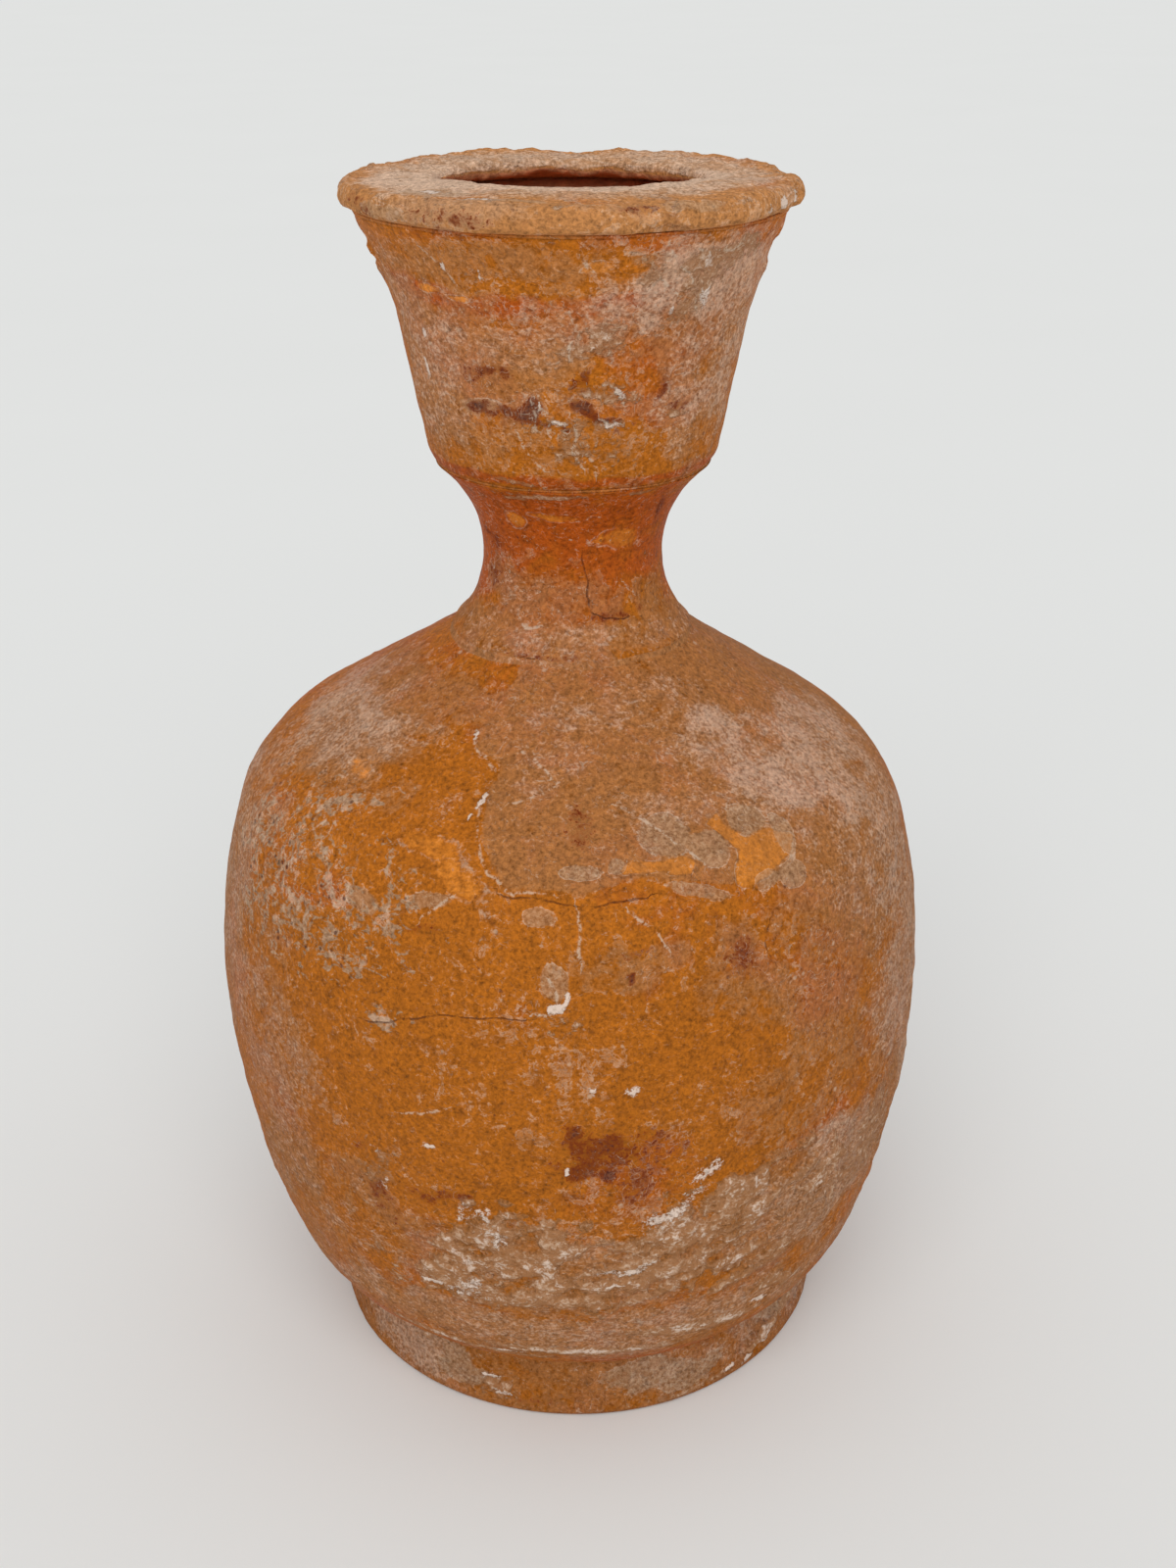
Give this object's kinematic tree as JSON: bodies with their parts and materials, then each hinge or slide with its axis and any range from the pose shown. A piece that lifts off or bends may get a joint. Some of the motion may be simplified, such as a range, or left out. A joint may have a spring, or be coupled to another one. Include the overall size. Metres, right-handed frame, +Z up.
{
  "type": "flask",
  "caption": "Wheel-thrown red-slipped ceramic flask: ovoid body on a ring foot, narrow neck, funnel mouth with an everted chipped rim, and lime crust on the lower belly.",
  "frame": {"origin": "centre of the foot ring's resting face, on the flask's axis", "axes": "+Z up along the axis of turning, -Y is the side towards the camera in the picture"},
  "size_m": [0.1088, 0.1091, 0.18],
  "materials": {
    "slipped_clay": "orange-red slip, half matt, worn and filmed with pale deposits",
    "joint_slip": "matt fired slip in the joints",
    "worn_clay": "rough clay with the slip worn away",
    "lime_crust": "matt lime deposit, uneven"
  },
  "bodies": {
    "root": {"foot_ring": "slipped_clay", "foot_slip": "joint_slip", "body": "slipped_clay", "neck": "slipped_clay", "neck_slip": "joint_slip", "cup_slip": "joint_slip", "mouth_cup": "slipped_clay", "rim_slip": "joint_slip", "rim": "worn_clay", "body_crust": "lime_crust", "foot_crust": "lime_crust"}
  },
  "joints": []
}
